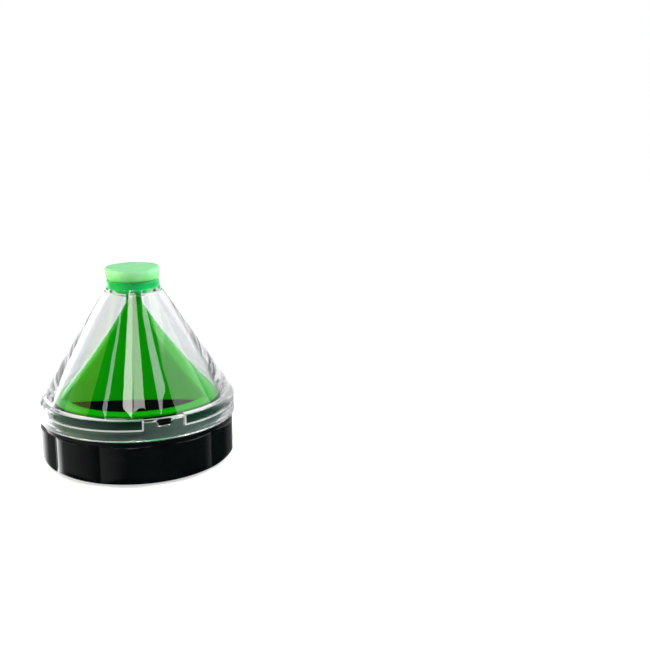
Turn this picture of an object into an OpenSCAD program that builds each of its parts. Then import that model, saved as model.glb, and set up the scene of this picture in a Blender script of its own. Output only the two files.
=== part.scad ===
// Twist crusher with a clear pouring hood.
// A lobed grip cup and a toothed plate crush between them. The clear hood stands on the plate,
// covers a loose funnel insert, and pours through a neck that a soft stopper closes.
// Millimetres, +Z up, origin at the centre of the cup's flat underside.
// The front is -Y. Angles named "heading" are measured from the front towards +X.

/* [Grip cup] */
// Outer radius at the crown of each grip lobe
cup_crown_r = 35; // [34.5:0.1:35]
// Radius at the bottom of the groove between two lobes
cup_groove_r = 33.2; // [32.8:0.1:34]
// Number of grip lobes
lobe_count = 10; // [8:1:14]
// Height of the lobed body
cup_body_h = 14.5; // [12:0.5:16]
// Radius of the plain round rim above the lobes
cup_rim_r = 34.1; // [33.8:0.1:34.4]
// Height of the rim's top
cup_rim_top = 16; // [15:0.1:16]
// Radius of the rounded bottom edge
cup_foot_r = 4.5; // [2:0.5:6]
// Radius of the crushing chamber
chamber_r = 31; // [30:0.1:31.5]
// Thickness of the chamber floor
floor_t = 2.5; // [1.5:0.1:4]

/* [Teeth] */
// Height of the teeth that stand on the chamber floor
lower_tooth_h = 8.5; // [4:0.5:10]
// Height at which the hanging teeth end
upper_tooth_tip_z = 7.2; // [6:0.1:9]
// Width of a tooth at its root
tooth_root_w = 4.8; // [3:0.1:5]
// Radial thickness of a tooth at its root
tooth_root_t = 4.2; // [3:0.1:4.4]
// Width and thickness of a tooth at its tip
tooth_tip_w = 1.4; // [1:0.1:2.5]

/* [Crusher plate] */
// Height of the plate's flat top
plate_top = 22.3; // [21.5:0.1:22.4]
// Thickness of the plate
plate_t = 2.2; // [1.6:0.1:3]
// Outer radius of the plate
plate_r = 32.2; // [31.8:0.1:32.2]
// Depth to which the collar reaches into the cup, as a height
collar_low_z = 9; // [7:0.5:12]
// Radial clearance of the collar in the chamber
collar_gap = 0.07; // [0.02:0.01:0.1]
// Thickness of the collar wall
collar_t = 1.6; // [1.2:0.1:2]
// Diameter of a sieve hole
sieve_d = 3.6; // [2:0.1:3.8]

/* [Funnel insert] */
// Thickness of the ring
ring_t = 1.1; // [0.8:0.1:1.4]
// Outer radius of the ring
ring_r = 29.3; // [28.5:0.1:30]
// Inner radius of the ring where it borders the front opening
opening_r = 25.7; // [25:0.1:26.5]
// Radius of the cone where it meets the ring
cone_foot_r = 28.7; // [28:0.1:29]
// How far the cone's wall bows inwards from a straight line
cone_bow = 1.3; // [0:0.1:2]
// Height at which the cone meets the stem
cone_top_z = 56.5; // [52:0.5:58]
// Distance from the axis to the foot of the flat front face
flat_foot_y = 12; // [11:0.5:14]
// Distance from the axis to the head of the flat front face
flat_head_y = 2.5; // [2:0.1:2.7]
// Wall thickness of the insert
insert_wall = 1.2; // [1:0.1:1.6]
// Outer radius of the stem
stem_r = 2.75; // [2.5:0.05:3.2]
// Radius of the stem's bore
stem_bore_r = 1.5; // [1:0.1:1.9]
// Height of the stem's tip
stem_top = 60.3; // [58:0.1:60.4]

/* [Hood] */
// Outer radius of the hood's skirt
hood_r = 35; // [35:0.1:36]
// Height of the skirt's lower edge
hood_low_z = 16.3; // [16.3:0.1:17.5]
// Inner radius of the skirt
skirt_bore_r = 32.5; // [32.5:0.1:33]
// Height at which the skirt turns into the cone
shoulder_z = 23.3; // [22.5:0.1:25]
// Radius of the rounded shoulder
shoulder_round = 2; // [0.5:0.5:4]
// Wall thickness of the cone at its head
hood_wall = 2; // [1.5:0.1:2.4]
// Inner radius of the cone at its foot, where the hood rests on the plate
hood_foot_r = 30.3; // [30.2:0.1:30.6]
// Outer radius of the neck
neck_r = 9.5; // [9:0.1:10.5]
// Height at which the cone meets the neck
neck_low_z = 63.2; // [62:0.1:64]
// Height of the neck's lip
lip_z = 65.3; // [65:0.1:66]
// Radius of the neck's bore
neck_bore_r = 8; // [7.5:0.1:8.2]
// Heading of the first solid tab in the skirt
tab_heading = 20.4; // [0:0.1:90]
// Angle covered by each recess between two tabs
recess_angle = 65.8; // [60:0.1:70]
// Radius to which a recess is cut
recess_r = 33.9; // [33.5:0.1:34]
// Height of the ledge at the bottom of a recess
ledge_z = 19.9; // [19:0.1:21]
// Width of a drive key at its root
key_w = 5.8; // [5:0.1:8]
// Width of a drive key at its tip
key_tip_w = 3; // [2:0.1:4]
// Height of a drive key
key_h = 1.7; // [1:0.1:1.9]
// How far a drive key stands out of the skirt's bore
key_depth = 1.1; // [0.8:0.1:1.2]

/* [Stopper] */
// Height of the stopper's top
stopper_top = 70; // [69:0.1:72]
// Radius of the stopper's head at its top
stopper_r = 9.8; // [9:0.1:10.5]
// Radius of the stopper's head at its underside
stopper_low_r = 9.3; // [8.8:0.1:9.8]
// Height of the plug's lower end
plug_low_z = 60.6; // [60.6:0.1:62]
// Radial clearance of the plug in the neck
plug_gap = 0.1; // [0.02:0.01:0.1]

/* [Hidden] */
$fn = 96;
eps = 0.01;
big = 200;
// Play between two pieces where one rests on the other
seat_gap = 0.1;
// How far a cutting body reaches past the face that it cuts
cut = 1;

cup_colour = [0.05, 0.06, 0.06];
insert_colour = [0.25, 0.72, 0.1];
hood_colour = [0.85, 0.9, 0.92, 0.35];
stopper_colour = [0.55, 0.9, 0.6];

// Lobes are equal circles whose centres lie on a ring. Two neighbours cross at the groove radius.
half_pitch = 180 / lobe_count;
lobe_ring_r = (cup_crown_r * cup_crown_r - cup_groove_r * cup_groove_r)
    / (2 * (cup_crown_r - cup_groove_r * cos(half_pitch)));
lobe_r = cup_crown_r - lobe_ring_r;
// The envelope clears the crowns, so that it trims only the foot and the top edge of the lobes.
envelope_r = cup_crown_r + 0.1;
body_edge = 0.6;
rim_edge = 0.4;
rim_root_r = cup_groove_r - 0.8;
rim_root_h = 1;

// Rings of teeth: [radius, number of teeth]. Lower and upper rings lie between each other.
lower_rings = [[11.5, 5], [22, 9]];
upper_rings = [[16.7, 7], [27, 11]];
// Rings of sieve holes lie over the lower teeth, where no upper tooth hangs.
sieve_rings = [[11.5, 8], [22, 16]];

plate_low = plate_top - plate_t;
collar_r = chamber_r - collar_gap;
drop_wall_t = 1.1;
drop_wall_low = cup_rim_top + seat_gap;
key_gap = 0.3;
hood_seat_z = plate_top + seat_gap;
key_low_z = hood_seat_z - key_h;
notch_r = skirt_bore_r - key_depth - key_gap;
notch_low = key_low_z - seat_gap;

insert_low_z = plate_top + seat_gap;
ring_top = insert_low_z + ring_t;
cone_wall_run = insert_wall * norm([cone_foot_r - stem_r, cone_top_z - insert_low_z])
    / (cone_top_z - insert_low_z);
flat_tilt = atan((flat_foot_y - flat_head_y) / (cone_top_z - ring_top));
stem_edge = 0.4;
stem_root_z = cone_top_z - 6;
cone_steps = 12;

cone_half_angle = atan((hood_r - neck_r) / (neck_low_z - shoulder_z));
wall_shift = hood_wall / cos(cone_half_angle);
round_drop = shoulder_round * tan(cone_half_angle / 2);
bore_neck_z = neck_low_z + (neck_r - wall_shift - neck_bore_r) / tan(cone_half_angle);
tab_count = 4;
recess_top_z = 23.5;
recess_inner_r = skirt_bore_r - 1;
key_root = 1;
lip_edge = 0.4;

stopper_low = lip_z + seat_gap;
stopper_edge = 0.9;
stopper_low_edge = 2;
plug_r = neck_bore_r - plug_gap;
plug_taper = 0.5;
// The rounded underside of the stopper's head starts at the plug
low_edge_start = -acos((plug_r - stopper_low_r + stopper_low_edge) / stopper_low_edge);
edge_steps = 4;
foot_steps = 10;

// Points of an arc, in degrees from the +X axis of the outline
function arc(centre, r, from, to, steps) =
    [for (i = [0:steps]) let (a = from + (to - from) * i / steps) centre + r * [cos(a), sin(a)]];

// Points of a shallow bow between two points, pushed sideways by up to "bow" at its middle
function bowed(a, b, bow, steps) =
    let (side = [b[1] - a[1], a[0] - b[0]] / norm(b - a))
    [for (i = [0:steps]) let (t = i / steps) a + (b - a) * t + side * bow * 4 * t * (1 - t)];

// Turns its children from the front to the given heading
module at_heading(heading) {
    rotate([0, 0, heading]) children();
}

// One tooth, root at z = 0 and tip at z = h, tapered on all four sides
module tooth(h) {
    intersection() {
        rotate([90, 0, 0])
            linear_extrude(tooth_root_t, center = true)
                tooth_outline(tooth_root_w, h);
        rotate([90, 0, 90])
            linear_extrude(tooth_root_w, center = true)
                tooth_outline(tooth_root_t, h);
    }
}

module tooth_outline(root_w, h) {
    polygon([
        [-root_w / 2, 0],
        [root_w / 2, 0],
        [tooth_tip_w / 2, h],
        [-tooth_tip_w / 2, h]
    ]);
}

// Rings of equal teeth around the axis
module tooth_rings(rings, h) {
    for (ring = rings)
        for (i = [0:ring[1] - 1])
            at_heading(i * 360 / ring[1])
                translate([0, -ring[0], 0])
                    tooth(h);
}

// Outline of the lobed grip, seen from above
module lobes() {
    circle(r = lobe_ring_r);
    for (i = [0:lobe_count - 1])
        at_heading(i * 360 / lobe_count)
            translate([0, -lobe_ring_r])
                circle(r = lobe_r);
}

// Round envelope of the lobed body: a rounded foot and a broken top edge
module cup_envelope() {
    rotate_extrude()
        polygon(concat(
            [[0, 0]],
            arc([envelope_r - cup_foot_r, cup_foot_r], cup_foot_r, -90, 0, foot_steps),
            arc([envelope_r - body_edge, cup_body_h - body_edge], body_edge, 0, 90, edge_steps),
            [[0, cup_body_h]]
        ));
}

// Plain round rim on top of the lobed body, with a root that reaches down inside the lobes
module cup_rim() {
    rotate_extrude()
        polygon(concat(
            [
                [0, cup_body_h - rim_root_h],
                [rim_root_r, cup_body_h - rim_root_h],
                [rim_root_r, cup_body_h],
                [cup_rim_r, cup_body_h]
            ],
            arc([cup_rim_r - rim_edge, cup_rim_top - rim_edge], rim_edge, 0, 90, edge_steps),
            [[0, cup_rim_top]]
        ));
}

module grip_cup() {
    color(cup_colour) {
        difference() {
            union() {
                intersection() {
                    linear_extrude(cup_body_h) lobes();
                    cup_envelope();
                }
                cup_rim();
            }
            translate([0, 0, floor_t]) cylinder(r = chamber_r, h = cup_rim_top);
        }
        translate([0, 0, floor_t - eps]) tooth_rings(lower_rings, lower_tooth_h);
    }
}

// Sieve holes through the plate
module sieve() {
    for (ring = sieve_rings)
        for (i = [0:ring[1] - 1])
            at_heading((i + 0.5) * 360 / ring[1])
                translate([0, -ring[0], plate_low - cut])
                    cylinder(d = sieve_d, h = plate_t + 2 * cut);
}

// Outline of a drive key seen from the front: narrow at z = 0, wide at z = h
module key_outline(h, gap) {
    polygon([
        [-key_tip_w / 2 - gap, 0],
        [key_tip_w / 2 + gap, 0],
        [key_w / 2 + gap, h],
        [-key_w / 2 - gap, h]
    ]);
}

// Notches in the plate's edge, open at the top, that take the hood's drive keys
module key_notches() {
    for (i = [0:tab_count - 1])
        at_heading(tab_heading + i * 360 / tab_count)
            translate([0, -notch_r, notch_low])
                rotate([90, 0, 0])
                    linear_extrude(plate_r + cut - notch_r)
                        key_outline(plate_top - notch_low + eps, key_gap);
}

module crusher_plate() {
    color(cup_colour) {
        difference() {
            rotate_extrude()
                polygon([
                    [0, plate_low],
                    [collar_r - collar_t, plate_low],
                    [collar_r - collar_t, collar_low_z],
                    [collar_r, collar_low_z],
                    [collar_r, plate_low],
                    [plate_r - drop_wall_t, plate_low],
                    [plate_r - drop_wall_t, drop_wall_low],
                    [plate_r, drop_wall_low],
                    [plate_r, plate_top],
                    [0, plate_top]
                ]);
            sieve();
            key_notches();
        }
        translate([0, 0, plate_low + eps])
            mirror([0, 0, 1])
                tooth_rings(upper_rings, plate_low - upper_tooth_tip_z);
    }
}

// Half space behind the flat front face, moved back by "inset"
module behind_flat(inset) {
    translate([0, -flat_foot_y, ring_top])
        rotate([-flat_tilt, 0, 0])
            translate([-big / 2, inset, -big / 2])
                cube(big);
}

// Solid cone with bowed sides that ends at the foot of the stem
module bowed_cone(foot_r, foot_z, head_r) {
    rotate_extrude()
        polygon(concat(
            [[0, foot_z]],
            bowed([foot_r, foot_z], [head_r, cone_top_z], -cone_bow, cone_steps),
            [[0, cone_top_z]]
        ));
}

// Ring around the opening in front of the flat face
module opening_ring() {
    difference() {
        translate([0, 0, insert_low_z]) cylinder(r = ring_r, h = ring_t);
        translate([0, 0, insert_low_z - cut]) cylinder(r = opening_r, h = ring_t + 2 * cut);
    }
}

module stem() {
    rotate_extrude()
        polygon(concat(
            [[0, stem_root_z], [stem_r, stem_root_z]],
            arc([stem_r - stem_edge, stem_top - stem_edge], stem_edge, 0, 90, edge_steps),
            [[0, stem_top]]
        ));
}

module funnel_insert() {
    color(insert_colour)
        difference() {
            union() {
                intersection() {
                    bowed_cone(cone_foot_r, insert_low_z, stem_r);
                    behind_flat(0);
                }
                opening_ring();
                stem();
            }
            intersection() {
                bowed_cone(cone_foot_r - cone_wall_run, insert_low_z - cut, stem_bore_r);
                behind_flat(insert_wall);
            }
            translate([0, 0, stem_root_z - cut]) cylinder(r = stem_bore_r, h = stem_top);
        }
}

// Outline of the hood's wall, turned about the axis
module hood_shell() {
    rotate_extrude()
        polygon(concat(
            [[skirt_bore_r, hood_low_z], [hood_r, hood_low_z]],
            arc([hood_r - shoulder_round, shoulder_z - round_drop],
                shoulder_round, 0, cone_half_angle, edge_steps),
            [[neck_r, neck_low_z]],
            arc([neck_r - lip_edge, lip_z - lip_edge], lip_edge, 0, 90, edge_steps),
            [
                [neck_bore_r, lip_z],
                [neck_bore_r, bore_neck_z],
                [hood_foot_r, hood_seat_z],
                [skirt_bore_r, hood_seat_z]
            ]
        ));
}

// Shallow recesses in the skirt's bore, one between each pair of tabs. They reach up past the seat.
module recesses() {
    for (i = [0:tab_count - 1])
        at_heading(tab_heading + (i + 0.5) * 360 / tab_count - recess_angle / 2 - 90)
            rotate_extrude(angle = recess_angle)
                polygon([
                    [recess_inner_r, ledge_z],
                    [recess_r, ledge_z],
                    [recess_r, recess_top_z],
                    [recess_inner_r, recess_top_z]
                ]);
}

// Drive keys that hang from the seat inside the tabs, rooted in the skirt's wall
module drive_keys() {
    intersection() {
        for (i = [0:tab_count - 1])
            at_heading(tab_heading + i * 360 / tab_count)
                translate([0, key_depth - skirt_bore_r, key_low_z])
                    rotate([90, 0, 0])
                        linear_extrude(key_depth + hood_r - skirt_bore_r)
                            key_outline(key_h + eps, 0);
        translate([0, 0, key_low_z - cut])
            cylinder(r = skirt_bore_r + key_root, h = key_h + 2 * cut);
    }
}

module hood() {
    color(hood_colour) {
        difference() {
            hood_shell();
            recesses();
        }
        drive_keys();
    }
}

module stopper() {
    color(stopper_colour)
        rotate_extrude()
            polygon(concat(
                [
                    [0, plug_low_z],
                    [plug_r - plug_taper, plug_low_z],
                    [plug_r, bore_neck_z],
                    [plug_r, stopper_low]
                ],
                arc([stopper_low_r - stopper_low_edge, stopper_low + stopper_low_edge],
                    stopper_low_edge, low_edge_start, 0, edge_steps),
                arc([stopper_r - stopper_edge, stopper_top - stopper_edge],
                    stopper_edge, 0, 90, edge_steps),
                [[0, stopper_top]]
            ));
}

grip_cup();
crusher_plate();
funnel_insert();
hood();
stopper();
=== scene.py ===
"""Looks of a twist crusher: a black lobed grip cup, a black toothed plate, a green funnel insert,
a clear pouring hood and a mint silicone stopper, on a white studio floor.

Lengths are in millimetres up to the mesh builder, which turns them into metres. The frame is the
CAD model's: +Z up, the front is -Y, and a heading is measured from the front towards +X.
"""

import math

import bmesh
import bpy
import numpy as np
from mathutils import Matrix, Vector, noise

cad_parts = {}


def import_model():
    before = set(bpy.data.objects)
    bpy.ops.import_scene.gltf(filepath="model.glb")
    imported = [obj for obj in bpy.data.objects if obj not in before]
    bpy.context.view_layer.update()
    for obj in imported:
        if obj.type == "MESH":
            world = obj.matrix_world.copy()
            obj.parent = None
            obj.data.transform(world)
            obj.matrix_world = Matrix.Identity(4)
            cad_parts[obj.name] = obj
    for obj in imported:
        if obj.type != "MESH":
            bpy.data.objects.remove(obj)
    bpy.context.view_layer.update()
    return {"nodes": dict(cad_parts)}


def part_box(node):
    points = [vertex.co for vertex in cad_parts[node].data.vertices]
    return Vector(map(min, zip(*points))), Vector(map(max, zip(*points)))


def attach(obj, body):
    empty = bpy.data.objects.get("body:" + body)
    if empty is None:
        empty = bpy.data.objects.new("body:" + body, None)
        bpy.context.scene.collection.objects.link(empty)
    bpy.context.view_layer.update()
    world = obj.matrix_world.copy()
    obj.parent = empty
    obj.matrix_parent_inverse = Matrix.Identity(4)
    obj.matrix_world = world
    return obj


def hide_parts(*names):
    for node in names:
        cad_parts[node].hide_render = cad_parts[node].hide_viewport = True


MM = 0.001
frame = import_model()


def box_mm(node):
    """Lowest and highest corner of a CAD node, in millimetres."""
    low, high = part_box(node)
    return np.array(low) / MM, np.array(high) / MM


CUP_HIGH = box_mm("grip_cup")[1]
INSERT_LOW, INSERT_HIGH = box_mm("funnel_insert")
HOOD_LOW, HOOD_HIGH = box_mm("hood")
STOPPER_LOW, STOPPER_HIGH = box_mm("stopper")

# The hood's skirt has solid tabs between recesses; the plate's rim gets a painted pale band behind
# the tabs and all round below the recesses' ledge.
TABS = 4
TAB_PITCH = 360 / TABS
TAB_HEADING = 20.4
RECESS_ANGLE = 65.8
TAB_ANGLE = TAB_PITCH - RECESS_ANGLE
LEDGE_Z = 19.9
SKIRT_BORE_R = 32.5


# ---------------------------------------------------------------- mesh builders


def arc(centre, radius, start, end, steps):
    """Points of an arc in an outline, in degrees from the outline's +r axis."""
    angles = np.radians(np.linspace(start, end, steps + 1))
    return [(centre[0] + radius * math.cos(a), centre[1] + radius * math.sin(a)) for a in angles]


def rounded(corners, steps=5, support=0.12):
    """Outline through corners (r, z, fillet radius). Each fillet is an arc, with a support point on
    both of its sides where there is room for one."""
    count = len(corners)
    points = []
    for i, (r, z, fillet) in enumerate(corners):
        here = np.array((r, z), float)
        if fillet <= 0:
            points.append(here)
            continue
        back = np.array(corners[i - 1][:2], float) - here
        ahead = np.array(corners[(i + 1) % count][:2], float) - here
        back_len, ahead_len = np.linalg.norm(back), np.linalg.norm(ahead)
        back, ahead = back / back_len, ahead / ahead_len
        half = math.acos(max(-1, min(1, float(back @ ahead)))) / 2
        run = fillet / math.tan(half)
        middle = (back + ahead) / np.linalg.norm(back + ahead)
        centre = here + middle * fillet / math.sin(half)
        start, end = here + back * run - centre, here + ahead * run - centre
        turn = math.atan2(start[0] * end[1] - start[1] * end[0], float(start @ end))
        if back_len - run > 2 * support:
            points.append(here + back * (run + support))
        for k in range(steps + 1):
            a = turn * k / steps
            points.append(centre + np.array((
                start[0] * math.cos(a) - start[1] * math.sin(a),
                start[0] * math.sin(a) + start[1] * math.cos(a),
            )))
        if ahead_len - run > 2 * support:
            points.append(here + ahead * (run + support))
    return np.array(points)


def walked(corners, steps=4):
    """Open outline through corners (r, z, fillet length). Every corner between the ends gives
    steps + 1 points, even on a straight, so that outlines with equal corner counts match."""
    points = [np.array(corners[0][:2], float)]
    for before, (r, z, fillet), after in zip(corners, corners[1:], corners[2:]):
        here = np.array((r, z), float)
        back, ahead = np.array(before[:2]) - here, np.array(after[:2]) - here
        back, ahead = back / np.linalg.norm(back), ahead / np.linalg.norm(ahead)
        for k in range(steps + 1):
            t = k / steps
            points.append(here + back * fillet * (1 - t) ** 2 + ahead * fillet * t ** 2)
    points.append(np.array(corners[-1][:2], float))
    return np.array(points)


def subdivided(points, longest, closed):
    """Outline with extra points, so that no step is longer than "longest"."""
    result = []
    last = len(points) if closed else len(points) - 1
    for i in range(last):
        a, b = points[i], points[(i + 1) % len(points)]
        steps = max(1, math.ceil(np.linalg.norm(b - a) / longest))
        result.extend(a + (b - a) * k / steps for k in range(steps))
    if not closed:
        result.append(points[-1])
    return np.array(result)


def swept(name, radius, height, headings, closed):
    """Mesh of rings round the axis. radius and height are (rings, headings) in millimetres.
    A closed sweep joins its last ring to its first. An open one ends in a pole at each end."""
    rings, columns = radius.shape
    h = headings[None, :]
    xyz = np.stack((radius * np.sin(h), -radius * np.cos(h), height), -1) * MM
    mesh = bpy.data.meshes.new(name)
    bm = bmesh.new()
    grid = []
    for i in range(rings):
        if not closed and i in (0, rings - 1):
            pole = bm.verts.new((0, 0, height[i, 0] * MM))
            grid.append([pole] * columns)
        else:
            grid.append([bm.verts.new(p) for p in xyz[i]])
    for i in range(rings if closed else rings - 1):
        lower, upper = grid[i], grid[(i + 1) % rings]
        for j in range(columns):
            k = (j + 1) % columns
            corners = [lower[j], lower[k], upper[k], upper[j]]
            corners = [v for n, v in enumerate(corners) if v is not corners[n - 1]]
            bm.faces.new(corners)
    bmesh.ops.recalc_face_normals(bm, faces=bm.faces)
    for face in bm.faces:
        face.smooth = True
    bm.to_mesh(mesh)
    bm.free()
    piece = bpy.data.objects.new(name, mesh)
    bpy.context.scene.collection.objects.link(piece)
    return piece


def lathed(name, outline, headings, closed=False):
    """Plain turned mesh of an outline of (r, z) points."""
    outline = np.asarray(outline, float)
    columns = np.ones(len(headings))
    return swept(name, outline[:, :1] * columns, outline[:, 1:] * columns, headings, closed)


def even_headings(count):
    """Headings all round, in radians."""
    return np.arange(count) * 2 * math.pi / count


def headings_with(count, edges, spread):
    """Even headings, with extra ones close to each edge. edges and spread are in degrees."""
    extra, clearance = 9, spread * 1.2
    near = [e + o for e in edges for o in np.linspace(-spread, spread, extra)]
    kept = [v for v in np.degrees(even_headings(count))
            if min(abs((v - e + 180) % 360 - 180) for e in edges) > clearance]
    return np.radians(np.array(sorted(v % 360 for v in kept + near)))


def smooth_step(value, low, high):
    """0 up to low, 1 from high on, and a smooth ramp between them."""
    t = np.clip((value - low) / (high - low), 0, 1)
    return t * t * (3 - 2 * t)


def smooth_min(a, b, blend):
    """The lower of a and b, with a fillet about "blend" wide where they cross."""
    h = np.clip(0.5 + 0.5 * (b - a) / blend, 0, 1)
    return b + (a - b) * h - blend * h * (1 - h)


def smooth_max(a, b, blend):
    """The higher of a and b, with the same fillet."""
    return -smooth_min(-a, -b, blend)


def combined(base, other, operation):
    """base with the solid of other joined to it, or cut out of it. other is removed."""
    modifier = base.modifiers.new("combine", "BOOLEAN")
    modifier.operation = operation
    modifier.solver = "EXACT"
    modifier.object = other
    graph = bpy.context.evaluated_depsgraph_get()
    mesh = bpy.data.meshes.new_from_object(base.evaluated_get(graph))
    base.modifiers.clear()
    old = base.data
    base.data = mesh
    bpy.data.meshes.remove(old)
    bpy.data.objects.remove(other)
    return base


def shaded(piece, angle):
    """Smooth shading, with edges sharper than "angle" degrees kept sharp."""
    bm = bmesh.new()
    bm.from_mesh(piece.data)
    for face in bm.faces:
        face.smooth = True
    for edge in bm.edges:
        edge.smooth = len(edge.link_faces) != 2 or edge.calc_face_angle(0) < math.radians(angle)
    bm.to_mesh(piece.data)
    bm.free()
    return piece


# ---------------------------------------------------------------- materials

BLACK_COLOURS = (0.0009, 0.0016, 0.0018), (0.0018, 0.003, 0.0033)
PLATE_COLOUR = (0.002, 0.004, 0.003)
# Painted green bounce light from the insert, on the plate's rim.
PLATE_RIM_GREEN_BOUNCE_COLOUR = (0.006, 0.045, 0.025)
# Painted pale band: light seen through the hood's clear skirt, painted on the plate's rim.
PAINTED_BAND_COLOUR = (0.23, 0.35, 0.31)
GREEN_COLOURS = (0.001, 0.4, 0.0005), (0.005, 0.46, 0.001)
# Pale colours of the painted highlight lines on the recess edges.
EDGE_HIGHLIGHT_COLOURS = (0.78, 0.84, 0.82), (0.92, 0.95, 0.94)
MINT_COLOURS = (0.145, 0.44, 0.175), (0.2, 0.5, 0.23)
# These multiply the mint colour along the height of the stopper, as painted shade, painted green
# bounce light and a painted highlight.
WHITE = (1, 1, 1)
PLUG_SHADE_AND_BOUNCE_TINT = (0.22, 1.78, 1.65)
HEAD_LOW_SHADE_TINT = (0.6, 0.88, 0.55)
HEAD_RIM_HIGHLIGHT_TINT = (1.3, 1.06, 1.3)
HEAD_TOP_SHADE_TINT = (0.72, 0.89, 0.8)
CHAMBER_DULL_R = 30.0


class Nodes:
    """A material's node tree, with short calls for what the materials here share."""

    def __init__(self, name):
        self.material = bpy.data.materials.new(name)
        self.material.use_nodes = True
        self.tree = self.material.node_tree
        self.shader = self.tree.nodes["Principled BSDF"]
        self.coordinates = self.add("ShaderNodeTexCoord").outputs["Object"]

    def add(self, kind, **settings):
        node = self.tree.nodes.new(kind)
        for key, value in settings.items():
            setattr(node, key, value)
        return node

    def link(self, output, target):
        self.tree.links.new(output, target)

    def axes(self):
        """The x, y and z outputs of the object's coordinates, in metres."""
        parts = self.add("ShaderNodeSeparateXYZ")
        self.link(self.coordinates, parts.inputs["Vector"])
        return parts.outputs

    def set(self, **values):
        """Plain values on the shader's own sockets."""
        for key, value in values.items():
            self.shader.inputs[key.replace("_", " ")].default_value = value

    def noise(self, size_mm, detail=3.0, stretch=(1, 1, 1)):
        """Noise whose blobs are about size_mm across."""
        mapping = self.add("ShaderNodeMapping")
        mapping.inputs["Scale"].default_value = stretch
        self.link(self.coordinates, mapping.inputs["Vector"])
        texture = self.add("ShaderNodeTexNoise")
        texture.inputs["Scale"].default_value = 1 / (size_mm * MM)
        texture.inputs["Detail"].default_value = detail
        self.link(mapping.outputs["Vector"], texture.inputs["Vector"])
        return texture.outputs["Fac"]

    def ranged(self, value, low, high, from_low=0.3, from_high=0.7):
        """value scaled from (from_low, from_high), where most of a noise lies, to (low, high)."""
        node = self.add("ShaderNodeMapRange")
        node.inputs["From Min"].default_value = from_low
        node.inputs["From Max"].default_value = from_high
        node.inputs["To Min"].default_value = low
        node.inputs["To Max"].default_value = high
        self.link(value, node.inputs["Value"])
        return node.outputs["Result"]

    def two_colours(self, value, first, second):
        """From first to second as value goes from 0 to 1. Each is a colour or another output."""
        node = self.add("ShaderNodeMix", data_type="RGBA")
        for slot, colour in (("A", first), ("B", second)):
            if isinstance(colour, tuple):
                node.inputs[slot].default_value = (*colour, 1)
            else:
                self.link(colour, node.inputs[slot])
        self.link(value, node.inputs["Factor"])
        return node.outputs["Result"]

    def multiplied(self, first, second):
        node = self.add("ShaderNodeMix", data_type="RGBA", blend_type="MULTIPLY")
        node.inputs["Factor"].default_value = 1.0
        self.link(first, node.inputs["A"])
        self.link(second, node.inputs["B"])
        return node.outputs["Result"]

    def math(self, operation, first, second=0.0):
        node = self.add("ShaderNodeMath", operation=operation)
        for slot, value in enumerate((first, second)):
            if isinstance(value, (int, float)):
                node.inputs[slot].default_value = value
            else:
                self.link(value, node.inputs[slot])
        return node.outputs[0]

    def bump(self, value, depth_mm, normal=None):
        node = self.add("ShaderNodeBump")
        node.inputs["Strength"].default_value = 1.0
        node.inputs["Distance"].default_value = depth_mm * MM
        self.link(value, node.inputs["Height"])
        if normal is not None:
            self.link(normal, node.inputs["Normal"])
        return node.outputs["Normal"]


def black_plastic():
    n = Nodes("black_plastic")
    n.set(IOR=1.5, Specular_IOR_Level=0.4)
    unevenness = n.ranged(n.noise(size_mm=6, detail=5), 0, 1)
    n.link(n.two_colours(unevenness, *BLACK_COLOURS), n.shader.inputs["Base Color"])
    n.link(n.ranged(n.noise(size_mm=2.5, detail=6), 0.07, 0.13), n.shader.inputs["Roughness"])
    ripple = n.bump(n.noise(size_mm=9, detail=1), depth_mm=0.05)
    grain = n.bump(n.noise(size_mm=0.35, detail=2), depth_mm=0.0012, normal=ripple)
    n.link(grain, n.shader.inputs["Normal"])
    return n.material


def plate_with_painted_light():
    """The plate's black plastic, dull in the chamber, with a painted pale band standing in for
    light seen through the hood's clear skirt on the part of its rim that the hood's bore slides
    over, and painted green bounce light from the insert on the rim."""
    n = Nodes("black_plastic_painted_light")
    n.set(IOR=1.5, Specular_IOR_Level=0.4)
    x, y, z = n.axes()
    pitch = math.radians(TAB_PITCH)
    heading = n.math("ARCTAN2", x, n.math("MULTIPLY", y, -1.0))
    from_gap = n.math("ADD", heading, pitch / 2 - math.radians(TAB_HEADING))
    from_gap = n.math("FLOORED_MODULO", from_gap, pitch)
    off_tab = n.math("ABSOLUTE", n.math("SUBTRACT", from_gap, pitch / 2))
    in_tab = n.math("LESS_THAN", off_tab, math.radians(TAB_ANGLE / 2))
    below_ledge = n.math("LESS_THAN", z, LEDGE_Z * MM)
    squares = n.math("ADD", n.math("MULTIPLY", x, x), n.math("MULTIPLY", y, y))
    radius = n.math("SQRT", squares)
    rim = n.math("GREATER_THAN", radius, (SKIRT_BORE_R - 0.5) * MM)
    # Painted pale band: light through the hood's clear skirt, painted behind the tabs and below the
    # ledge. The noise only varies its strength.
    painted_band = n.math("MULTIPLY", rim, n.math("MAXIMUM", in_tab, below_ledge))
    unevenness = n.ranged(n.noise(size_mm=3, detail=4, stretch=(1, 1, 3)), 0.8, 1.0)
    # Painted green bounce light from the insert on the rim.
    plain = n.two_colours(rim, PLATE_COLOUR, PLATE_RIM_GREEN_BOUNCE_COLOUR)
    n.link(n.two_colours(n.math("MULTIPLY", painted_band, unevenness), plain, PAINTED_BAND_COLOUR),
           n.shader.inputs["Base Color"])
    chamber = n.math("LESS_THAN", radius, CHAMBER_DULL_R * MM)
    dull = n.math("MAXIMUM", painted_band, chamber)
    n.link(n.ranged(dull, 0.1, 0.5, 0, 1), n.shader.inputs["Roughness"])
    n.link(n.ranged(chamber, 0.4, 0.0, 0, 1), n.shader.inputs["Specular IOR Level"])
    return n.material


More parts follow.
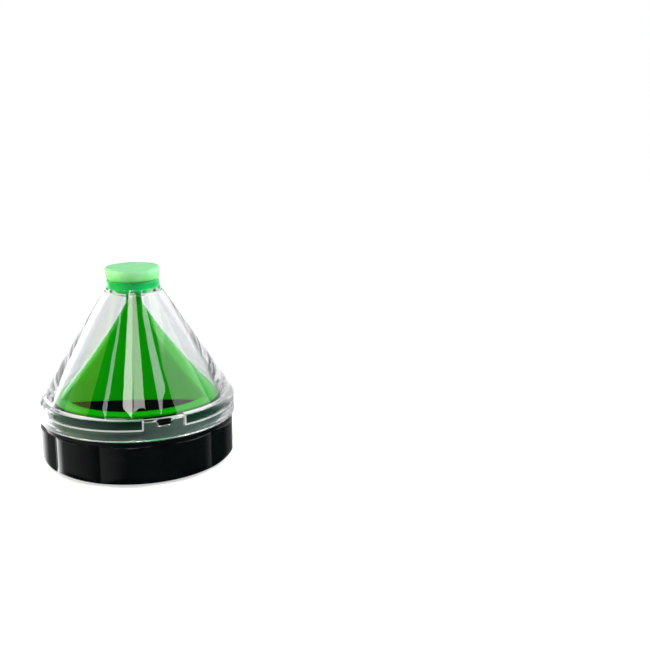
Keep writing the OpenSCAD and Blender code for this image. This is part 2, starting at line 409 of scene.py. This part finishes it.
def green_plastic():
    n = Nodes("green_plastic")
    n.set(IOR=1.5, Specular_IOR_Level=0.08, Subsurface_Weight=0.4, Subsurface_Scale=0.006,
          Subsurface_Radius=(0.2, 1.0, 0.05))
    flow = n.ranged(n.noise(size_mm=14, stretch=(1, 1, 0.35)), 0, 1)
    n.link(n.two_colours(flow, *GREEN_COLOURS), n.shader.inputs["Base Color"])
    n.link(n.ranged(n.noise(size_mm=3, detail=5), 0.12, 0.2), n.shader.inputs["Roughness"])
    ripple = n.bump(n.noise(size_mm=7, detail=1), depth_mm=0.03)
    n.link(ripple, n.shader.inputs["Normal"])
    return n.material


def clear_plastic():
    n = Nodes("clear_plastic")
    n.set(IOR=1.49, Transmission_Weight=1.0, Base_Color=(0.903, 0.91, 0.935, 1))
    n.link(n.ranged(n.noise(size_mm=1.2, detail=6), 0.0, 0.02), n.shader.inputs["Roughness"])
    ripple = n.bump(n.noise(size_mm=11, detail=1), depth_mm=0.05)
    n.link(ripple, n.shader.inputs["Normal"])
    return n.material


def glowing_highlight_edge():
    """Pale bars at the edges of the clear plastic's recesses: painted highlight lines, with a
    painted glow for light that runs along inside the walls.
    """
    n = Nodes("clear_plastic_painted_highlight")
    # Painted glow: the bar emits light though it is no lamp.
    n.set(IOR=1.49, Roughness=0.35, Emission_Color=(0.95, 1, 0.98, 1), Emission_Strength=0.35)
    bright = n.ranged(n.noise(size_mm=4, detail=2), 0, 1)
    n.link(n.two_colours(bright, *EDGE_HIGHLIGHT_COLOURS), n.shader.inputs["Base Color"])
    return n.material


def mint_silicone():
    """The stopper's soft rubber, with painted light by height: the plug is painted deeper green, as
    painted shade and green bounce light from the insert, where the clear neck touches it all round;
    the head has painted shade low on its side and on its top, and a painted highlight that makes it
    paler towards its rim."""
    n = Nodes("mint_rubber")
    n.set(IOR=1.25, Specular_IOR_Level=0.12, Subsurface_Weight=0.35, Subsurface_Scale=0.003,
          Subsurface_Radius=(0.5, 1.0, 0.5))
    height = n.axes()[2]
    colour = n.two_colours(n.ranged(n.noise(size_mm=5, detail=4), 0, 1), *MINT_COLOURS)
    # Painted light by height: shade and green bounce on the plug, shade low on the head and on its
    # top, a highlight towards its rim.
    for low_mm, high_mm, low_tint, high_tint in (
        (64.5, 65.7, PLUG_SHADE_AND_BOUNCE_TINT, WHITE),
        (66.0, 69.0, HEAD_LOW_SHADE_TINT, HEAD_RIM_HIGHLIGHT_TINT),
        (69.2, 69.8, WHITE, HEAD_TOP_SHADE_TINT),
    ):
        share = n.ranged(height, 0, 1, low_mm * MM, high_mm * MM)
        colour = n.multiplied(colour, n.two_colours(share, low_tint, high_tint))
    n.link(colour, n.shader.inputs["Base Color"])
    n.link(n.ranged(n.noise(size_mm=2, detail=4), 0.42, 0.55), n.shader.inputs["Roughness"])
    n.link(n.bump(n.noise(size_mm=0.5), depth_mm=0.006), n.shader.inputs["Normal"])
    return n.material


BLACK = black_plastic()
GREEN = green_plastic()
CLEAR = clear_plastic()
EDGE_HIGHLIGHT = glowing_highlight_edge()
MINT = mint_silicone()


def finished(piece, material, body, node):
    """Gives a piece its material slot and body, and hides the CAD node that it replaces."""
    piece.data.materials.clear()
    piece.data.materials.append(material)
    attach(piece, body)
    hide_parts(node)
    return piece


# ---------------------------------------------------------------- grip cup

LOBES = 10
COLUMNS_PER_LOBE = 24
CROWN_R = CUP_HIGH[1]
GROOVE_R = 33.2
GROOVE_FILLET = 0.22
BODY_TOP = 14.5
BODY_FILLET = 0.45
RIM_R = 34.1
FOOT_R = 4.5
UNDERSIDE_RINGS = (8, 16, 22, 26)
FLOOR_RINGS = (24, 14, 6)
CHAMBER_R = 31.0
FLOOR_Z = 2.5
TOOTH_H = 8.5
TOOTH_ROOT = (4.8, 4.2)
TOOTH_TIP = 1.4
TOOTH_RINGS = ((11.5, 5), (22.0, 9))
TOOTH_SINK = 0.3
TOOTH_BEVEL = 0.25


def lobe_radius(headings):
    """Radius of the lobed outline. The lobes are circles whose centres lie on a ring, and
    neighbours meet in a filleted groove."""
    half_pitch = math.pi / LOBES
    ring = (CROWN_R ** 2 - GROOVE_R ** 2) / (2 * (CROWN_R - GROOVE_R * math.cos(half_pitch)))
    lobe = CROWN_R - ring
    off = (headings + half_pitch) % (2 * half_pitch) - half_pitch
    here, before, after = (
        ring * np.cos(turn) + np.sqrt(np.maximum(lobe ** 2 - (ring * np.sin(turn)) ** 2, 1))
        for turn in (off, off - 2 * half_pitch, off + 2 * half_pitch)
    )
    return smooth_max(smooth_max(here, before, GROOVE_FILLET), after, GROOVE_FILLET)


def tooth_mesh(bm, root_r, heading, z, height):
    """One tapered tooth whose root is at z, added to bm."""
    c, s = math.cos(heading), math.sin(heading)
    corners = []
    for (w, t), level in ((TOOTH_ROOT, z), ((TOOTH_TIP, TOOTH_TIP), z + height)):
        for sx, sy in ((-1, -1), (1, -1), (1, 1), (-1, 1)):
            x, y = sx * w / 2, -root_r + sy * t / 2
            corners.append(bm.verts.new(Vector((x * c - y * s, x * s + y * c, level)) * MM))
    faces = [(3, 2, 1, 0), (4, 5, 6, 7)]
    faces += [(i, (i + 1) % 4, (i + 1) % 4 + 4, i + 4) for i in range(4)]
    for f in faces:
        bm.faces.new([corners[i] for i in f])


def lower_teeth():
    """The teeth on the chamber's floor, whose roots are sunk into it for a clean union."""
    mesh = bpy.data.meshes.new("lower_teeth")
    bm = bmesh.new()
    for radius, count in TOOTH_RINGS:
        for i in range(count):
            heading = i * 2 * math.pi / count
            tooth_mesh(bm, radius, heading, FLOOR_Z - TOOTH_SINK, TOOTH_H + TOOTH_SINK)
    bmesh.ops.recalc_face_normals(bm, faces=bm.faces)
    bmesh.ops.bevel(bm, geom=bm.edges[:], offset=TOOTH_BEVEL * MM, segments=2, affect="EDGES")
    bm.to_mesh(mesh)
    bm.free()
    teeth = bpy.data.objects.new("lower_teeth", mesh)
    bpy.context.scene.collection.objects.link(teeth)
    return teeth


def grip_cup():
    half_pitch = 180 / LOBES
    grooves = [half_pitch + i * 2 * half_pitch for i in range(LOBES)]
    headings = headings_with(LOBES * COLUMNS_PER_LOBE, grooves, spread=1.0)
    top = CUP_HIGH[2]
    outer = lobe_radius(headings)
    past_lobes = CROWN_R + 0.6
    rings_r, rings_z = [], []

    def ring(radius, z):
        rings_r.append(np.full(len(headings), radius) if np.isscalar(radius) else radius)
        rings_z.append(np.full(len(headings), float(z)))

    def lobed(envelope, z, shift=0.0):
        """Ring of the lobed outline, where it lies inside a circle of radius envelope."""
        ring(smooth_min(outer, np.full(len(headings), envelope), 0.25) + shift, z)

    ring(0.0, 0.0)
    for r in UNDERSIDE_RINGS:
        ring(r, 0.0)
    for r, z in arc((CROWN_R + 0.1 - FOOT_R, FOOT_R), FOOT_R, -90, 0, 14):
        lobed(r, z)
    for z in np.linspace(FOOT_R, BODY_TOP - 0.6, 8)[1:]:
        lobed(past_lobes, z)
    for r, z in arc((-BODY_FILLET, -BODY_FILLET), BODY_FILLET, 0, 90, 5):
        lobed(past_lobes, BODY_TOP + z, shift=r)
    # One ring halfway from the lobed edge to the round root of the rim.
    ring(np.minimum(outer - 0.8, RIM_R) * 0.5 + RIM_R * 0.5, BODY_TOP)
    ring(RIM_R, BODY_TOP)
    inside = rounded([
        (RIM_R, BODY_TOP, 0), (RIM_R, top, 0.45), (CHAMBER_R, top, 0.3),
        (CHAMBER_R, FLOOR_Z, 1.2), (0, FLOOR_Z, 0),
    ])
    for r, z in inside[1:-1]:
        ring(float(r), z)
    for r in FLOOR_RINGS:
        ring(float(r), FLOOR_Z)
    ring(0.0, FLOOR_Z)
    cup = swept("cup_body", np.array(rings_r), np.array(rings_z), headings, closed=False)
    combined(cup, lower_teeth(), "UNION")
    shaded(cup, angle=50)
    return finished(cup, BLACK, "grip_cup", "grip_cup")


# ---------------------------------------------------------------- funnel insert

RING_T = 1.1
RING_R = INSERT_HIGH[0]
OPENING_R = 25.7
CONE_FOOT_R = 28.7
CONE_TOP_Z = 56.5
CONE_BOW = 1.3
FLAT_FOOT_Y = 12.0
FLAT_HEAD_Y = 2.5
INSERT_WALL = 1.2
STEM_R = 2.75
STEM_BORE_R = 1.5
# Widths of the fillets where the flat face meets the cone, and the cone meets the stem.
FLAT_BLEND, FLAT_BLEND_INSIDE = 0.7, 0.5
STEM_BLEND, STEM_BLEND_INSIDE = 0.5, 0.3


def cone_radius(z, foot_r, head_r):
    """Radius of the insert's bowed cone at height z."""
    foot_z = INSERT_LOW[2]
    t = np.clip((z - foot_z) / (CONE_TOP_Z - foot_z), 0, 1)
    slant = math.hypot(foot_r - head_r, CONE_TOP_Z - foot_z)
    bow = 4 * CONE_BOW * t * (1 - t) * slant / (CONE_TOP_Z - foot_z)
    return foot_r + (head_r - foot_r) * t - bow


def flat_distance(z):
    """Distance from the axis to the flat front face at height z."""
    ring_top = INSERT_LOW[2] + RING_T
    return FLAT_FOOT_Y + (FLAT_HEAD_Y - FLAT_FOOT_Y) * (z - ring_top) / (CONE_TOP_Z - ring_top)


def d_outline(z, foot_r, head_r, inset, headings, blend):
    """Radius at each heading of the insert's D-shaped section at height z."""
    towards_front = np.maximum(np.cos(headings), 0.02)
    flat = np.minimum(np.maximum(flat_distance(z) - inset, 0.4) / towards_front, 80)
    return smooth_min(np.full(len(headings), cone_radius(z, foot_r, head_r)), flat, blend)


def funnel_insert():
    """A hollow cone with a flat front face, swept up the outside and down the inside, on a ring."""
    headings = even_headings(288)
    low, top = INSERT_LOW[2], INSERT_HIGH[2]
    # The wall measured level, along the cone's slope and across the flat face.
    cone_run, flat_run = INSERT_WALL * 1.26, INSERT_WALL * 1.06
    rings_r, rings_z = [], []

    def ring(radius, z):
        rings_r.append(radius * np.ones(len(headings)))
        rings_z.append(np.full(len(headings), float(z)))

    for z in np.linspace(low, CONE_TOP_Z + 0.8, 56):
        outer = d_outline(z, CONE_FOOT_R, STEM_R, 0, headings, FLAT_BLEND)
        ring(smooth_max(outer, np.full(len(headings), STEM_R), STEM_BLEND), z)
    for r, z in rounded([(STEM_R, CONE_TOP_Z + 1.0, 0), (STEM_R, top, 0.45),
                         (STEM_BORE_R, top, 0.2), (STEM_BORE_R, CONE_TOP_Z, 0)])[:-1]:
        ring(float(r), z)
    for z in np.linspace(CONE_TOP_Z, low, 40):
        inner = d_outline(z, CONE_FOOT_R - cone_run, STEM_BORE_R, flat_run, headings,
                          FLAT_BLEND_INSIDE)
        ring(smooth_max(inner, np.full(len(headings), STEM_BORE_R), STEM_BLEND_INSIDE), z)
    insert = swept("insert_body", np.array(rings_r), np.array(rings_z), headings, closed=True)
    flange = lathed(
        "insert_flange",
        rounded([(OPENING_R, low, 0.25), (RING_R, low, 0.25), (RING_R, low + RING_T, 0.4),
                 (OPENING_R, low + RING_T, 0.35)]),
        even_headings(360), closed=True,
    )
    combined(insert, flange, "UNION")
    shaded(insert, angle=35)
    return finished(insert, GREEN, "funnel_insert", "funnel_insert")


# ---------------------------------------------------------------- hood

HOOD_R = HOOD_HIGH[0]
SHOULDER_Z = 23.3
SHOULDER_ROUND = 2.0
HOOD_WALL = 2.0
HOOD_FOOT_R = 30.3
SEAT_Z = INSERT_LOW[2]
NECK_R = 9.5
NECK_LOW_Z = 63.2
NECK_BORE_R = 8.0
BORE_LOW_Z = 60.5
RECESS_R = 33.9
RECESS_INNER_R = 31.5
RECESS_TOP = 23.5
# Half the width of a recess's end wall, in degrees.
RECESS_END_HALF = 0.35
KEY_W, KEY_TIP_W, KEY_H, KEY_DEPTH = 5.8, 3.0, 1.7, 1.1
# The painted highlight line along the bottom and the ends of each recess.
EDGE_WIDTH = 0.5
EDGE_DEPTH = 0.1
EDGE_GAP = 0.03


def from_tab(headings):
    """Distance of each heading from the nearest tab's centre, in degrees."""
    half = TAB_PITCH / 2
    return np.abs((np.degrees(headings) - TAB_HEADING + half) % TAB_PITCH - half)


def hood():
    """One closed outline swept round: its inner part blends between tabs, recesses and keys."""
    low, lip = HOOD_LOW[2], HOOD_HIGH[2]
    slope = math.atan((HOOD_R - NECK_R) / (NECK_LOW_Z - SHOULDER_Z))
    run = HOOD_WALL / math.cos(slope)
    bore_neck = NECK_LOW_Z + (NECK_R - run - NECK_BORE_R) / math.tan(slope)
    bore_share = (bore_neck - BORE_LOW_Z) / (bore_neck - SEAT_Z)
    step_r = NECK_BORE_R + (HOOD_FOOT_R - NECK_BORE_R) * bore_share
    key_half, key_tip_half = (math.degrees(w / 2 / SKIRT_BORE_R) for w in (KEY_W, KEY_TIP_W))
    tab_half = TAB_ANGLE / 2
    edges = [TAB_HEADING + i * TAB_PITCH + s * tab_half for i in range(TABS) for s in (-1, 1)]
    headings = headings_with(320, edges, spread=0.55)
    off = from_tab(headings)
    recess = smooth_step(off, tab_half - RECESS_END_HALF, tab_half + RECESS_END_HALF)
    key = 1 - smooth_step(off, key_tip_half, key_half)

    # From the bottom of the skirt's bore, up the outside and over the lip, and down the cone's
    # inside to its foot.
    outside = subdivided(rounded([
        (SKIRT_BORE_R, low, 0.35), (HOOD_R, low, 0.4), (HOOD_R, SHOULDER_Z, SHOULDER_ROUND),
        (NECK_R, NECK_LOW_Z, 1.2), (NECK_R, lip, 0.45), (NECK_BORE_R, lip, 0.35),
        (NECK_BORE_R, BORE_LOW_Z, 0.25), (step_r, BORE_LOW_Z - 0.1, 0.15), (HOOD_FOOT_R, SEAT_Z, 0),
    ], steps=7)[:-1], 2.5, closed=False)
    # Seat, then tab, recess or key, then bore, walked down to the bottom of the skirt.
    key_r = SKIRT_BORE_R - KEY_DEPTH
    seat = (HOOD_FOOT_R + 0.05, SEAT_Z + 0.2, 0), (HOOD_FOOT_R + 0.1, SEAT_Z, 0.12)
    tab_part = (
        (RECESS_INNER_R, SEAT_Z, 0.1), (RECESS_INNER_R + 0.3, SEAT_Z, 0.1),
        (SKIRT_BORE_R, SEAT_Z, 0.3), (SKIRT_BORE_R, LEDGE_Z + 0.8, 0.1),
        (SKIRT_BORE_R, LEDGE_Z, 0.1),
    )
    recess_part = (
        (RECESS_INNER_R, SEAT_Z, 0.2), (RECESS_INNER_R, RECESS_TOP, 0.25),
        (RECESS_R, RECESS_TOP, 0.4), (RECESS_R, LEDGE_Z, 0.3), (SKIRT_BORE_R, LEDGE_Z, 0.35),
    )
    key_part = (
        (key_r - 0.35, SEAT_Z, 0.1), (key_r, SEAT_Z, 0.2), (key_r, SEAT_Z - KEY_H, 0.3),
        (SKIRT_BORE_R, SEAT_Z - KEY_H, 0.2), (SKIRT_BORE_R, LEDGE_Z, 0.1),
    )
    bore_end = (SKIRT_BORE_R, low + 0.6, 0)
    walks = [walked((*seat, *part, bore_end)) for part in (tab_part, recess_part, key_part)]
    rings_r = [np.full(len(headings), float(r)) for r, z in outside]
    rings_z = [np.full(len(headings), float(z)) for r, z in outside]
    for plain, cut, tooth in zip(*walks):
        for rings, p, c, t in zip((rings_r, rings_z), plain, cut, tooth):
            rings.append(p + (c - p) * recess + (t - p) * key)
    shell = swept("hood_shell", np.array(rings_r), np.array(rings_z), headings, closed=True)
    shaded(shell, angle=60)
    # Light reaches the pieces inside straight through the clear wall.
    shell.visible_shadow = False
    return finished(shell, CLEAR, "hood", "hood")


def recess_highlight_lines():
    """Painted highlights on the moulded edges at the bottom and ends of the recesses, as pale,
    glowing lines. Each is a U-shaped bar with a rectangular section."""
    bm = bmesh.new()
    inset = math.degrees(EDGE_WIDTH / RECESS_R)
    # The bar's two ends stop short of the rounded top of the recess.
    top = RECESS_TOP - 0.3
    radii = RECESS_R - EDGE_GAP, RECESS_R - EDGE_GAP - EDGE_DEPTH
    for i in range(TABS):
        start = TAB_HEADING + TAB_ANGLE / 2 + i * TAB_PITCH
        end = start + RECESS_ANGLE
        along = np.linspace(start, end, 48)
        outer = [(start, top), *((h, LEDGE_Z) for h in along), (end, top)]
        inner = [(start + inset, top),
                 *((min(max(h, start + inset), end - inset), LEDGE_Z + EDGE_WIDTH) for h in along),
                 (end - inset, top)]
        rows = []
        for radius in radii:
            for path in (outer, inner):
                rows.append([
                    bm.verts.new(Vector((radius * math.sin(a), -radius * math.cos(a), z)) * MM)
                    for a, z in ((math.radians(h), z) for h, z in path)
                ])
        for first, second in ((0, 1), (1, 3), (3, 2), (2, 0)):
            for j in range(len(outer) - 1):
                bm.faces.new((rows[first][j], rows[first][j + 1],
                              rows[second][j + 1], rows[second][j]))
        for j in (0, -1):
            bm.faces.new([rows[k][j] for k in (0, 1, 3, 2)])
    bmesh.ops.remove_doubles(bm, verts=bm.verts, dist=1e-7)
    bmesh.ops.recalc_face_normals(bm, faces=bm.faces)
    mesh = bpy.data.meshes.new("recess_highlight_lines")
    bm.to_mesh(mesh)
    bm.free()
    edges = bpy.data.objects.new("recess_highlight_lines", mesh)
    bpy.context.scene.collection.objects.link(edges)
    return finished(edges, EDGE_HIGHLIGHT, "hood", "hood")


# ---------------------------------------------------------------- stopper

STOPPER_R = STOPPER_HIGH[0]
STOPPER_LOW_R = 9.3
# The soft plug is pressed against the bore, so it has no air gap there.
PLUG_R = NECK_BORE_R + 0.02
HEAD_GAP = 0.03
# The rim of the soft head dips by DIP on average, give or take DIP_WAVE.
DIP, DIP_WAVE = 0.12, 0.25
WAVE_SCALE = 0.16
WAVE_FROM = Vector((3.1, 0.7, 9.4))


def stopper():
    """A turned plug and head, made a little uneven like soft moulded rubber."""
    headings = even_headings(128)
    plug_low, top = STOPPER_LOW[2], STOPPER_HIGH[2]
    head_low = HOOD_HIGH[2] + HEAD_GAP
    outline = rounded([
        (0, plug_low, 0), (PLUG_R - 0.5, plug_low, 0.5), (PLUG_R, plug_low + 1.3, 0.8),
        (PLUG_R, head_low, 0.15), (STOPPER_LOW_R, head_low, 1.35), (STOPPER_R, top, 0.75),
        (0, top, 0),
    ], steps=6)
    side = subdivided(outline[1:-1], 0.9, closed=False)
    # The top sinks a little towards its middle.
    outline = np.vstack((
        outline[0], (4.0, plug_low), side,
        (6.2, top - 0.05), (3.0, top - 0.12), (0, top - 0.14),
    ))
    piece = lathed("stopper_body", outline, headings)
    # The rim is low in places, and the head's outline is not quite round.
    for v in piece.data.vertices:
        p = v.co / MM
        radius = math.hypot(p.x, p.y)
        if p.z > head_low + 0.6 and radius > 4:
            wave = noise.noise(Vector((p.x, p.y, p.z)) * WAVE_SCALE + WAVE_FROM)
            at_rim = smooth_step(radius, 4, 9) * smooth_step(p.z, head_low, top)
            v.co.z -= max(0.0, DIP + DIP_WAVE * wave) * at_rim * MM
            shrink = 1 - 0.012 * max(0.0, 0.4 + wave)
            v.co.x *= shrink
            v.co.y *= shrink
    return finished(piece, MINT, "stopper", "stopper")


def crusher_plate():
    """The plate keeps its CAD mesh, and gets black plastic with painted light on its rim."""
    plate = frame["nodes"]["crusher_plate"]
    plate.data.materials.clear()
    plate.data.materials.append(plate_with_painted_light())


grip_cup()
funnel_insert()
hood()
recess_highlight_lines()
stopper()
crusher_plate()


# ---------------------------------------------------------------- studio

# The camera stands in metres and turns in degrees.
CAMERA_AT = (0.0376, -0.3540, 0.1319)
CAMERA_TILT = 76.56
CAMERA_TURN = -5.0
LENS = 55.38
SENSOR = 36.0
FLOOR_HALF = 1.0


def camera():
    data = bpy.data.cameras.new("camera")
    data.lens = LENS
    data.sensor_width = SENSOR
    data.clip_start = 0.01
    view = bpy.data.objects.new("camera", data)
    view.location = CAMERA_AT
    view.rotation_euler = (math.radians(CAMERA_TILT), 0, math.radians(CAMERA_TURN))
    bpy.context.scene.collection.objects.link(view)
    bpy.context.scene.camera = view


def panel(name, azimuth, elevation, distance, size, strength, colour=(1, 1, 1), mirrored=True):
    """Rectangular soft light that faces the object. Azimuth is from the front towards +X, and
    angles are in degrees. The strength is the radiance of the panel's face. Only a mirrored panel
    shows in reflections and through the hood."""
    data = bpy.data.lights.new(name, "AREA")
    data.shape = "RECTANGLE"
    data.size, data.size_y = size
    data.color = colour
    data.energy = strength * math.pi * size[0] * size[1]
    light = bpy.data.objects.new(name, data)
    a, e = math.radians(azimuth), math.radians(elevation)
    direction = Vector((math.sin(a) * math.cos(e), -math.cos(a) * math.cos(e), math.sin(e)))
    light.location = Vector((0, 0, 0.03)) + direction * distance
    light.rotation_euler = direction.to_track_quat("Z", "Y").to_euler()
    light.visible_camera = False
    light.visible_glossy = mirrored
    light.visible_transmission = mirrored
    bpy.context.scene.collection.objects.link(light)


def floor():
    """A pale floor that reaches as far as the lights do, with the white studio beyond it."""
    mesh = bpy.data.meshes.new("floor")
    bm = bmesh.new()
    bmesh.ops.create_grid(bm, x_segments=1, y_segments=1, size=FLOOR_HALF)
    bm.to_mesh(mesh)
    bm.free()
    ground = bpy.data.objects.new("floor", mesh)
    bpy.context.scene.collection.objects.link(ground)
    n = Nodes("floor")
    n.set(Base_Color=(0.6, 0.6, 0.6, 1), Roughness=0.8, Specular_IOR_Level=0.1,
          Emission_Color=(1, 1, 1, 1), Emission_Strength=0.5)
    mesh.materials.append(n.material)
    # Reflections and the view through the hood see the studio instead of the floor.
    ground.visible_glossy = False
    ground.visible_transmission = False


# Strengths of the white world, by what sees it and, for reflections, by where they look.
WORLD_SEEN = 1.0
WORLD_ON_DIFFUSE = 0.4
WORLD_AT_SIDES = 0.6
WORLD_BEHIND_LEFT = 1.3
WORLD_BEHIND_RIGHT = 1.1
WORLD_LOW_LEFT = 2.8
WORLD_LOW_RIGHT = 0.2
WORLD_FRONT_LEFT = 0.3
WORLD_IN_FRONT = 0.02
WORLD_IN_WALLS = 0.9


def world():
    """White all round for what is seen directly or through the hood. Reflections see a studio
    that is bright behind the object, mostly at its left, and dark round the camera and below."""
    scene = bpy.context.scene
    scene.world = bpy.data.worlds.new("studio")
    scene.world.use_nodes = True
    tree = scene.world.node_tree

    def linked(node, inputs):
        """The node's first output, with each input given a number or another node's output."""
        for key, value in inputs.items():
            if isinstance(value, (int, float)):
                node.inputs[key].default_value = value
            else:
                tree.links.new(value, node.inputs[key])
        return node.outputs[0]

    def math_node(operation, first, second):
        node = tree.nodes.new("ShaderNodeMath")
        node.operation = operation
        return linked(node, {0: first, 1: second})

    def bounced(depth, times=1):
        """1 for light that has made at least so many bounces of this kind, else 0."""
        return math_node("GREATER_THAN", path.outputs[depth], times - 0.5)

    def ramp(value, low, high, at_low, at_high):
        return linked(tree.nodes.new("ShaderNodeMapRange"), {
            "Value": value, "From Min": low, "From Max": high, "To Min": at_low, "To Max": at_high})

    def either(choice, if_not, if_so):
        return linked(tree.nodes.new("ShaderNodeMix"), {"Factor": choice, "A": if_not, "B": if_so})

    path = tree.nodes.new("ShaderNodeLightPath")
    place = tree.nodes.new("ShaderNodeTexCoord")
    parts = tree.nodes.new("ShaderNodeSeparateXYZ")
    tree.links.new(place.outputs["Generated"], parts.inputs["Vector"])
    # The parts of the direction that a ray looks in: y is away from the front, and z is up.
    x, y, z = parts.outputs
    behind_right = ramp(z, -0.3, -0.1, WORLD_LOW_RIGHT, WORLD_BEHIND_RIGHT)
    behind_left = ramp(z, -0.15, 0.05, WORLD_LOW_LEFT, WORLD_BEHIND_LEFT)
    behind = ramp(x, -0.4, 0.4, behind_left, behind_right)
    front_left = ramp(z, -0.05, 0.1, WORLD_FRONT_LEFT, WORLD_IN_FRONT)
    in_front = ramp(x, -0.9, -0.2, front_left, WORLD_IN_FRONT)
    # The bright part starts further back below the horizon than above it.
    bright_from = ramp(z, -0.1, 0.1, 0.3, 0.05)
    bright_to = ramp(z, -0.1, 0.1, 0.65, 0.4)
    around = ramp(y, bright_from, bright_to, in_front, behind)
    studio = ramp(z, -0.7, -0.4, 0.0, around)
    # Light that the clear wall passes on by inner reflections is white too.
    studio = either(bounced("Glossy Depth", 3), studio, WORLD_IN_WALLS)
    strength = either(bounced("Glossy Depth"), WORLD_SEEN, studio)
    sideways = math_node("MULTIPLY", x, x)
    soft = ramp(sideways, 0, 1, WORLD_ON_DIFFUSE, WORLD_ON_DIFFUSE + WORLD_AT_SIDES)
    strength = either(bounced("Diffuse Depth"), strength, soft)
    background = tree.nodes["Background"]
    tree.links.new(strength, background.inputs["Strength"])
    background.inputs["Color"].default_value = (1, 1, 1, 1)
    scene.cycles.caustics_refractive = False
    # The thick foot of the hood passes light on through many inner reflections.
    scene.cycles.max_bounces = 24
    scene.cycles.glossy_bounces = 20
    scene.cycles.transmission_bounces = 20
    scene.cycles.sample_clamp_indirect = 0


def lights():
    """Four windows that the hood mirrors, two wide walls of light at its sides, and soft fills.
    Each line gives azimuth, elevation, distance, size, strength and colour."""
    panel("centre_light_left", -10.0, 49.6, 0.9, (0.155, 0.145), 12.5, (1.0, 0.98, 0.9))
    panel("centre_light_right", 7.0, 50.1, 0.9, (0.19, 0.145), 7.5, (1.0, 1.0, 0.92))
    panel("right_light", 43.0, 47.4, 0.9, (0.165, 0.13), 6.5, (0.96, 1.0, 1.0))
    panel("left_light", -41.3, 44.6, 0.9, (0.075, 0.13), 5.0)
    panel("right_wall", 83, 36, 0.9, (0.66, 0.36), 3.0, (0.9, 1.0, 0.85))
    panel("left_wall", -80, 34, 0.9, (0.46, 0.3), 1.3, (0.85, 1.0, 0.25))
    panel("left_fill", -75, 25, 0.08, (0.04, 0.05), 10.0, (1.0, 1.0, 0.6), mirrored=False)
    panel("right_fill", 85, 25, 0.08, (0.04, 0.05), 9.0, mirrored=False)
    panel("front_fill", 6, 25, 1.0, (1.2, 0.9), 0.1, mirrored=False)
    panel("top_light", 180, 78, 1.2, (1.4, 1.4), 1.7, mirrored=False)


camera()
floor()
world()
lights()
bpy.context.scene.view_settings.view_transform = "Standard"
